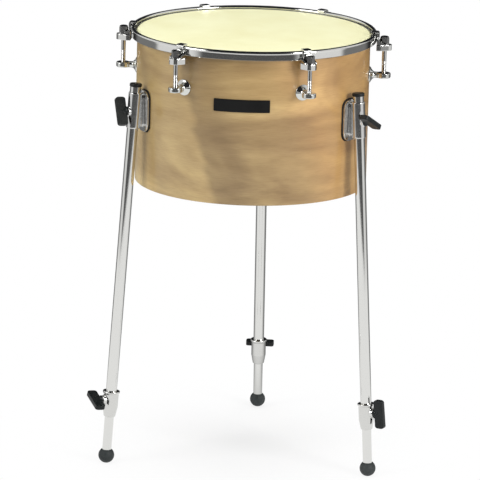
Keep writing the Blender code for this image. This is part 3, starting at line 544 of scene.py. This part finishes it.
unit_azimuths = (-150, -90, -30, 30, 90, 150)
screw_from_axis = 0.2247
claw_inside = 0.2116
claw_outside = claw_inside + 0.0040
claw_low = 0.7212
claw_seat = 0.7310
claw_top = hoop_high.z + 0.0030
claw_nose = 0.2368
half_top = 0.0070
half_foot = 0.0145
half_nose = 0.0085
over_bead = hoop_high.z + 0.0003
hook_inside = bead_centre[0] - bead - 0.0025
hook_tip = hoop_high.z - 0.0022
hook_thickness = 0.0021
hook_slope = 0.0033
hook_round = 0.0022
tip_run = 0.0014
tip_drop = 0.0016
melt_in = 0.0010
fine_voxel = 0.00045
hook_outline = [(hook_inside, hook_tip), (hook_inside + hook_thickness, hook_tip)]
hook_outline += [(hook_inside + hook_slope, over_bead), (claw_inside, over_bead)]
hook_outline += [(claw_inside, claw_seat - melt_in), (claw_outside, claw_seat - melt_in)]
hook_outline += [(claw_outside, claw_top - hook_round), (claw_outside - hook_round, claw_top)]
hook_outline += [(hook_inside + tip_run, claw_top), (hook_inside, claw_top - tip_drop)]
back_foot = half_foot - 0.0004
back_head = half_top - 0.0002
back_top = claw_seat + 0.0130
back_skin = 0.0002
back_outline = [(-back_foot, claw_low + melt_in), (back_foot, claw_low + melt_in)]
back_outline += [(back_head, back_top), (-back_head, back_top)]
flange_step = 0.0030
nose_step = 0.0040
flange_outline = [(claw_inside, -half_foot), (claw_outside + flange_step, -half_foot)]
flange_outline += [(claw_nose - nose_step, -half_nose), (claw_nose, -half_nose / 2)]
flange_outline += [(x, -y) for x, y in reversed(flange_outline)]
rib_back = claw_inside + 0.0005
rib_front = screw_from_axis + 0.0035
rib_edge = claw_seat + 0.0015
rib_top = claw_seat + 0.0090
rib_inside = 0.0089
rib_outside = 0.0115
rib_outline = [(rib_back, claw_seat - melt_in), (rib_front, claw_seat - melt_in)]
rib_outline += [(rib_front, rib_edge), (rib_back, rib_top)]
claw_solids = [prism(flange_outline, claw_low, claw_seat), prism(hook_outline, -half_top, half_top, "Y")]
claw_solids.append(prism(back_outline, claw_inside + back_skin, claw_outside - back_skin, "X"))
for low, high in ((-rib_outside, -rib_inside), (rib_inside, rib_outside)):
    claw_solids.append(prism(rib_outline, low, high, "Y"))
claw_hole = 0.0045
drill_steps = 32
hole_outline = circle(claw_hole, drill_steps, (screw_from_axis, 0.0))
screw_hole = prism(hole_outline, claw_low - 0.01, claw_seat + 0.02)
claw_mesh = cast("claw_casting", claw_solids, [screw_hole], fine_voxel, 3)
claw_chrome = plating("claw_chrome", (0.68, 0.68, 0.66), 0.07, 0.08, 60.0)
for number, azimuth in enumerate(unit_azimuths, start=1):
    put(f"claw_casting_{number}", claw_mesh, claw_chrome, "hoop", f"claw_{number}",
        on_the_drum(azimuth))

# Six tension screws of turned and chromed steel: a slotted hexagonal head on a collar, a plain
# shank, and a rolled thread that runs down through the lug.
screw_low, screw_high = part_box("tension_screw_2")
screw_radius = 0.0039
collar_radius = 0.0083
collar_top = claw_seat + 0.0020
head_flats = 0.0136
head_corner = head_flats / math.sqrt(3)
thread_pitch = 0.00125
thread_depth = 0.00035
thread_top = 0.7020
thread_sides = 24
rings_per_pitch = 6


def threaded_rod(low, high, plain_from, radius):
    """A rod about Z whose surface is a thread below plain_from, as points and faces."""
    levels = int((high - low) / thread_pitch * rings_per_pitch)
    points = [Vector((0.0, 0.0, low))]
    for level in range(levels + 1):
        height = low + (high - low) * level / levels
        for side in range(thread_sides):
            turn = side / thread_sides
            phase = (height / thread_pitch - turn) % 1.0
            cut = thread_depth * abs(2.0 * phase - 1.0) if height < plain_from else 0.0
            reach = radius - cut
            angle = math.tau * turn
            points.append(Vector((reach * math.cos(angle), reach * math.sin(angle), height)))
    points.append(Vector((0.0, 0.0, high)))
    faces = []
    for side in range(thread_sides):
        after = (side + 1) % thread_sides
        faces.append([0, 1 + after, 1 + side])
        for level in range(levels):
            here = 1 + level * thread_sides
            above = here + thread_sides
            faces.append([here + side, here + after, above + after, above + side])
        last = 1 + levels * thread_sides
        faces.append([last + side, last + after, len(points) - 1])
    return points, faces


head_low = collar_top - 0.0010
crown_low = collar_top - 0.0015
crown_wide = head_corner + 0.0010
crown_top = screw_high.z - 0.0001
crown_shoulder = screw_high.z - 0.0016
crown_edge = screw_high.z - 0.0020
crown_steps = 96
head_solid = mesh_from("head", [prism(circle(head_corner, 6), head_low, screw_high.z)])
crown = [(0.0, crown_low), (crown_wide, crown_low), (crown_wide, crown_edge)]
crown += [(head_corner - 0.0002, crown_shoulder), (head_corner - 0.0028, crown_top), (0.0, crown_top)]
slot_low = screw_high.z - 0.0034
slot_high = screw_high.z + 0.0020
slot_half = 0.0011
slot_outline = [(-head_flats, slot_low), (head_flats, slot_low)]
slot_outline += [(head_flats, slot_high), (-head_flats, slot_high)]
collar_low = claw_seat + 0.0003
collar_steps = 64
collar_profile = [(0.0, collar_low), (collar_radius, collar_low), (collar_radius, collar_top - 0.0006)]
collar_profile += [(collar_radius - 0.0007, collar_top), (0.0, collar_top)]
screw_mesh = with_tools("tension_screw", head_solid, [
    ("INTERSECT", mesh_from("crown", [turned(crown, crown_steps)])),
    ("DIFFERENCE", mesh_from("driver_slot", [prism(slot_outline, -slot_half, slot_half, "Y")])),
    ("UNION", mesh_from("collar", [turned(collar_profile, collar_steps)])),
    ("UNION", mesh_from("rod", [threaded_rod(screw_low.z, claw_seat + melt_in, thread_top, screw_radius)])),
])
screw_chrome = plating("screw_chrome", (0.66, 0.66, 0.65), 0.08, 0.08, 90.0)
for number, azimuth in enumerate(unit_azimuths, start=1):
    put(f"turned_screw_{number}", screw_mesh, screw_chrome, f"screw_{number}", f"tension_screw_{number}",
        on_the_drum(azimuth) @ Matrix.Translation((screw_from_axis, 0.0, 0.0)))

# Six lugs, turned and chromed: a flared rosette that beds on the shell, a neck, and a flat eye
# with the screw's thread in it. A stud goes through the shell to a nut and washer inside.
lug_height = 0.6772
lug_eye = 0.0120
lug_half = 0.0044
rosette = 0.01375
neck = 0.0054
lug_steps = 64
outward = Matrix.Translation((0.0, 0.0, lug_height)) @ Matrix.Rotation(math.pi / 2, 4, "Y")
flare_base = shell_radius - 0.0020
flare_edge = shell_radius + 0.0016
flare_shoulder = shell_radius + 0.0022
flare_from = shell_radius + 0.0024
flare_run = 0.0076
flare_bend = 2.2
flare_steps = 6
neck_end = screw_from_axis - lug_eye / 2
flare = [(0.0, flare_base), (rosette, flare_base), (rosette, flare_edge)]
flare += [(rosette - 0.0008, flare_shoulder)]
for step in range(1, flare_steps + 1):
    along_flare = step / flare_steps
    wider = (rosette - 0.001 - neck) * (1 - along_flare) ** flare_bend
    flare.append((neck + wider, flare_from + flare_run * along_flare))
flare += [(neck, neck_end), (0.0, neck_end)]
eye_break = 0.0012
eye = [(0.0, -lug_half), (lug_eye - eye_break, -lug_half), (lug_eye, -lug_half + eye_break)]
eye += [(lug_eye, lug_half - eye_break), (lug_eye - eye_break, lug_half), (0.0, lug_half)]
eye_place = Matrix.Translation((screw_from_axis, 0.0, lug_height))
stud_radius = 0.0030
stud_end = 0.1850
thread_hole = 0.0043
face_gap = 0.0003
stud = prism(circle(stud_radius, 24, (0.0, lug_height)), stud_end, shell_radius + 0.004, "X")
shell_round = prism(circle(shell_radius + face_gap, hoop_steps), lug_height - 0.05, lug_height + 0.05)
bore_outline = circle(thread_hole, drill_steps, (screw_from_axis, 0.0))
screw_bore = prism(bore_outline, lug_height - 0.02, lug_height + 0.02)
lug_body = cast("lug", [turned(flare, lug_steps, outward), turned(eye, lug_steps, eye_place)],
                [shell_round, screw_bore], fine_voxel, 2)
lug_mesh = with_tools("lug", lug_body, [("UNION", mesh_from("stud", [stud]))])
lug_chrome = plating("lug_chrome", (0.68, 0.69, 0.66), 0.07, 0.08, 60.0)
for number, azimuth in enumerate(unit_azimuths, start=1):
    put(f"turned_lug_{number}", lug_mesh, lug_chrome, "drum", f"lug_{number}",
        on_the_drum(azimuth))
dress([f"lug_nut_{number}" for number in range(1, 7)],
      plating("nut_zinc", (0.55, 0.55, 0.52), 0.32, 0.15, 120.0))

# Three leg brackets, cast and chromed: a plate bent to the shell, a web, a sleeve round the leg
# and a boss for the wing bolt. Two bolts come through the shell from a steel plate inside.
leg_azimuths = {"left": -60, "right": 60, "rear": 180}
leg_from_axis = 0.2215
bracket_height = 0.6187
splay = math.radians(3.8)
leg_place = Matrix.Translation((leg_from_axis, 0.0, bracket_height)) @ Matrix.Rotation(-splay, 4, "Y")
gasket_width = 0.0400
gasket_tall = 0.0735
gasket_corner = 0.0150
plate_inside = shell_radius + 0.0024


def rounded(width, height, corner, steps, centre=(0.0, 0.0)):
    """A rectangle's outline with round corners."""
    outline = []
    for side_x, side_y, start in ((1, 1, 0), (-1, 1, 90), (-1, -1, 180), (1, -1, 270)):
        middle = (centre[0] + side_x * (width / 2 - corner), centre[1] + side_y * (height / 2 - corner))
        outline += arc(middle, corner, start, start + 90, steps)
    return outline


def bent_plate(name, outline, inside, thickness, middle):
    """A plate of that outline, bent round the shell."""
    low = middle - 0.06
    high = middle + 0.06
    ring = [(inside, low), (inside + thickness, low), (inside + thickness, high), (inside, high)]
    block = mesh_from("block", [prism(outline, shell_radius - 0.02, shell_radius + 0.03, "X")])
    return with_tools(name, mesh_from("ring", [turned(ring, 360)]), [("INTERSECT", block)])


def solid_of(mesh):
    """A mesh's own points and faces."""
    return [vertex.co.copy() for vertex in mesh.vertices], [list(face.vertices) for face in mesh.polygons]


gasket_border = 0.0014
plate_width = gasket_width - 2 * gasket_border
plate_tall = gasket_tall - 2 * gasket_border
plate_outline = rounded(plate_width, plate_tall, gasket_corner - gasket_border, 8, (0.0, bracket_height))
plate = bent_plate("plate", plate_outline, plate_inside, 0.0036, bracket_height)
web_outline = rounded(0.0140, 0.0540, 0.0040, 4, (0.0, bracket_height))
web = prism(web_outline, plate_inside + melt_in, leg_from_axis - 0.006, "X")
cast_break = 0.0010
sleeve_radius = 0.0120
sleeve_low = -0.0287
sleeve_high = 0.0333
sleeve_set_back = 0.0010
sleeve_steps = 64
sleeve_edge = sleeve_radius - cast_break
sleeve = [(0.0, sleeve_low), (sleeve_edge, sleeve_low), (sleeve_radius, sleeve_low + cast_break)]
sleeve += [(sleeve_radius, sleeve_high - cast_break), (sleeve_edge, sleeve_high), (0.0, sleeve_high)]
boss_radius = 0.0082
bracket_seat = 0.0126
boss = [(0.0, 0.0), (boss_radius, 0.0), (boss_radius, bracket_seat - cast_break)]
boss += [(boss_radius - cast_break, bracket_seat), (0.0, bracket_seat)]
boss_steps = 48
sleeve_place = leg_place @ Matrix.Translation((-sleeve_set_back, 0.0, 0.0))
bracket_solids = [solid_of(plate), web, turned(sleeve, sleeve_steps, sleeve_place)]
bracket_solids.append(turned(boss, boss_steps, leg_place @ Matrix.Rotation(math.pi / 2, 4, "Y")))
leg_hole = 0.00985
bolt_hole = 0.0044
leg_bore = prism(circle(leg_hole, sleeve_steps), -0.05, 0.06, "Z", leg_place)
bolt_bore = prism(circle(bolt_hole, drill_steps), 0.002, 0.03, "X", leg_place)
bracket_mesh = cast("bracket_casting", bracket_solids, [leg_bore, bolt_bore], 0.0006, 3)
bracket_chrome = plating("bracket_chrome", (0.66, 0.66, 0.65), 0.07, 0.08, 50.0)
for side, azimuth in leg_azimuths.items():
    put(f"bracket_casting_{side}", bracket_mesh, bracket_chrome, "drum", f"leg_bracket_{side}",
        on_the_drum(azimuth))
dress([f"bracket_backing_{side}" for side in leg_azimuths],
      plating("backing_steel", (0.50, 0.50, 0.49), 0.38, 0.15, 80.0))

# Three telescopic legs of chromed steel tube. The outer tube slides in its bracket's sleeve,
# carries a cast clamp at its lower end, and the thinner tube slides in and out of it.
tube_chrome = plating("tube_chrome", (0.72, 0.72, 0.70), 0.05, 0.06, 25.0)
tube_top = 0.0433
tube_bottom = -0.5205
tube_radius = 0.0095
tube_bore = 0.0083
tube_steps = 96
extension_radius = 0.0080
extension_bore = 0.0067
extension_top = -0.2400
extension_bottom = -0.6050


def tube(inside, outside, low, high):
    """A tube's turned profile with its cut ends deburred."""
    burr = 0.0003
    return [(inside, low + burr), (inside + burr, low), (outside - burr, low), (outside, low + burr),
            (outside, high - burr), (outside - burr, high), (inside + burr, high), (inside, high - burr)]


outer_profile = tube(tube_bore, tube_radius, tube_bottom, tube_top)
inner_profile = tube(extension_bore, extension_radius, extension_bottom, extension_top)
outer_tube = mesh_from("outer_tube", [turned(outer_profile, tube_steps)])
inner_tube = mesh_from("inner_tube", [turned(inner_profile, tube_steps)])
clamp_top = -0.4913
clamp_low = -0.5370
clamp_bolt = -0.5078
clamp_bore = extension_radius + face_gap
clamp_shelf = tube_bottom - face_gap
clamp_barrel = 0.0130
clamp_lip = 0.01475
clamp_foot = 0.0102
lip_break = 0.0008
clamp_profile = [(clamp_bore, clamp_low), (clamp_foot - lip_break, clamp_low)]
clamp_profile += [(clamp_foot, clamp_low + lip_break), (clamp_barrel, tube_bottom)]
clamp_profile += [(clamp_barrel, clamp_top - 0.0049)]
clamp_profile += [(clamp_lip, clamp_top - 0.0034), (clamp_lip, clamp_top - lip_break), (0.0140, clamp_top)]
clamp_profile += [(leg_hole, clamp_top), (leg_hole, clamp_shelf), (clamp_bore, clamp_shelf)]
clamp_seat = 0.0172
clamp_boss_root = 0.0108
clamp_boss = [(0.0, clamp_boss_root), (boss_radius, clamp_boss_root)]
clamp_boss += [(boss_radius, clamp_seat - cast_break), (boss_radius - cast_break, clamp_seat)]
clamp_boss += [(0.0, clamp_seat)]
boss_place = Matrix.Translation((0.0, 0.0, clamp_bolt)) @ Matrix.Rotation(math.pi / 2, 4, "Y")
clamp_hole = prism(circle(bolt_hole, drill_steps, (0.0, clamp_bolt)), 0.002, 0.03, "X")
clamp_solids = [turned(clamp_profile, tube_steps), turned(clamp_boss, boss_steps, boss_place)]
clamp_mesh = cast("clamp_casting", clamp_solids, [clamp_hole], 0.0005, 2)
clamp_chrome = plating("clamp_chrome", (0.66, 0.66, 0.64), 0.10, 0.08, 50.0)
for side, azimuth in leg_azimuths.items():
    leg = on_the_drum(azimuth) @ leg_place
    put(f"outer_tube_{side}", outer_tube, tube_chrome, f"leg_{side}", f"leg_tube_{side}",
        leg)
    put(f"clamp_casting_{side}", clamp_mesh, clamp_chrome, f"leg_{side}", f"leg_clamp_{side}",
        leg)
    put(f"inner_tube_{side}", inner_tube, tube_chrome, f"extension_{side}", f"leg_extension_{side}",
        leg)


# The black pieces: moulded caps and wing bolts with a fine stipple, gaskets, rubber feet that
# the floor has greyed, and the lacquered badge, which is left blank.
def moulded(name, colour, roughness, stipple_scale, stipple_depth, dust):
    """A dark moulded finish with a stipple and a little dust."""
    material, tree = new_material(name)
    place = add(tree, "ShaderNodeTexCoord", "place")
    stipple = add(tree, "ShaderNodeTexNoise", "stipple", Scale=stipple_scale, Detail=3.0)
    cloud = add(tree, "ShaderNodeTexNoise", "cloud", Scale=stipple_scale / 14.0, Detail=4.0)
    dusty = tuple(value + dust for value in colour)
    shade = ramp(tree, "shade", cloud.outputs["Fac"], (0.35, colour), (0.75, dusty))
    body = add(tree, "ShaderNodeBsdfPrincipled", "body", Roughness=roughness)
    body.inputs["Specular IOR Level"].default_value = 0.25
    bump = add(tree, "ShaderNodeBump", "bump", Strength=0.3, Distance=stipple_depth)
    tree.links.new(shade, body.inputs["Base Color"])
    link(tree, (place, "Object", stipple, "Vector"), (place, "Object", cloud, "Vector"),
         (stipple, "Fac", bump, "Height"), (bump, "Normal", body, "Normal"),
         (body, "BSDF", tree.nodes["output"], "Surface"))
    return material


gasket_black = moulded("gasket_black", (0.012, 0.012, 0.012), 0.6, 500.0, 0.0002, 0.02)
gasket_outline = rounded(gasket_width, gasket_tall, gasket_corner, 8, (0.0, bracket_height))
gasket = bent_plate("gasket", gasket_outline, shell_radius + face_gap, 0.0018, bracket_height)
cap_black = moulded("cap_black", (0.006, 0.007, 0.007), 0.42, 700.0, 0.0002, 0.008)
cap_seat = tube_top + face_gap
plug_low = cap_seat - 0.0100
plug_radius = 0.0079
plug_break = 0.0006
cap_radius = 0.0105
cap_round = 0.0016
cap_shoulder = 0.0470
cap_crown = 0.0489
cap_profile = [(0.0, plug_low), (plug_radius - plug_break, plug_low), (plug_radius, plug_low + plug_break)]
cap_profile += [(plug_radius, cap_seat), (cap_radius, cap_seat)]
cap_profile += arc((cap_radius - cap_round, cap_shoulder), cap_round, 0, 90, 6) + [(0.0, cap_crown)]
leg_cap = mesh_from("leg_cap", [turned(cap_profile, sleeve_steps)])
wing_black = moulded("wing_black", (0.006, 0.008, 0.008), 0.38, 700.0, 0.0002, 0.008)
wing_length = 0.0500
wing_width = 0.0175
wing_half = 0.0040
wing_corner = 0.0045
hub_radius = 0.0080
hub_waist = 0.0056
hub_neck = 0.0044
hub_length = 0.0098
shank_radius = 0.0039
bracket_wing_turns = {"left": -61, "right": -30, "rear": 20}
clamp_wing_turns = {"left": -18, "right": -86, "rear": 0}


def wing_bolt(name, tip, seat):
    """A wing bolt that points along X: a threaded stud, and a moulded hub and wing."""
    root = seat + face_gap
    middle = (root + 0.0012 + wing_width / 2, 0.0)
    hub = [(0.0, root), (hub_radius, root), (hub_radius, root + 0.0020), (hub_waist, root + 0.0042)]
    hub += [(hub_neck, root + hub_length), (0.0, root + hub_length)]
    wing = prism(rounded(wing_width, wing_length, wing_corner, 6, middle), -wing_half, wing_half)
    grip = cast(name, [wing, turned(hub, boss_steps, Matrix.Rotation(math.pi / 2, 4, "Y"))], [], 0.0005, 6)
    shank = prism(circle(shank_radius, drill_steps), tip, root + 0.002, "X")
    return with_tools(name, grip, [("UNION", mesh_from("shank", [shank]))])


bracket_wing = wing_bolt("bracket_wing", tube_radius + face_gap, bracket_seat)
clamp_wing = wing_bolt("clamp_wing", extension_radius + face_gap, clamp_seat)
foot_rubber = moulded("foot_rubber", (0.025, 0.030, 0.030), 0.55, 400.0, 0.0003, 0.03)
foot_radius = 0.0138
foot_height = 0.0134
foot_along = -(bracket_height - foot_height) / math.cos(splay)
sole_angle = math.degrees(math.asin(foot_height / foot_radius))
socket_radius = 0.0083
socket_floor = 0.0018
socket_angle = 49
foot_profile = [(0.0, -foot_height)] + arc((0.0, 0.0), foot_radius, -sole_angle, socket_angle, 24)
foot_profile += [(socket_radius, 0.0105), (socket_radius, socket_floor), (0.0, socket_floor)]
ball_foot = mesh_from("ball_foot", [turned(foot_profile, tube_steps)])
for side, azimuth in leg_azimuths.items():
    leg = on_the_drum(azimuth) @ leg_place
    put(f"bent_gasket_{side}", gasket, gasket_black, "drum", f"bracket_gasket_{side}",
        on_the_drum(azimuth))
    put(f"moulded_cap_{side}", leg_cap, cap_black, f"leg_{side}", f"leg_cap_{side}", leg)
    turn = Matrix.Rotation(math.radians(bracket_wing_turns[side]), 4, "X")
    put(f"bracket_wing_{side}", bracket_wing, wing_black, f"bracket_wing_{side}",
        f"bracket_wing_bolt_{side}", leg @ turn)
    turn = Matrix.Rotation(math.radians(clamp_wing_turns[side]), 4, "X")
    put(f"clamp_wing_{side}", clamp_wing, wing_black, f"clamp_wing_{side}", f"clamp_wing_bolt_{side}",
        leg @ Matrix.Translation((0.0, 0.0, clamp_bolt)) @ turn)
    upright = Matrix.Translation((0.0, 0.0, foot_along)) @ Matrix.Rotation(splay, 4, "Y")
    put(f"ball_foot_{side}", ball_foot, foot_rubber, f"extension_{side}", f"foot_{side}",
        leg @ upright)
badge_black = moulded("badge_lacquer", (0.004, 0.004, 0.004), 0.30, 300.0, 0.0001, 0.003)
badge_low, badge_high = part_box("badge_plate")
badge_middle = (badge_low.z + badge_high.z) / 2
badge_width = badge_high.x - badge_low.x
badge_tall = badge_high.z - badge_low.z
badge_corner = 0.0015
badge_thickness = 0.0010
badge_outline = rounded(badge_width, badge_tall, badge_corner, 4, (0.0, badge_middle))
badge = bent_plate("badge", badge_outline, shell_radius + face_gap, badge_thickness, badge_middle)
put("blank_badge", badge, badge_black, "drum", "badge_plate", on_the_drum(0))
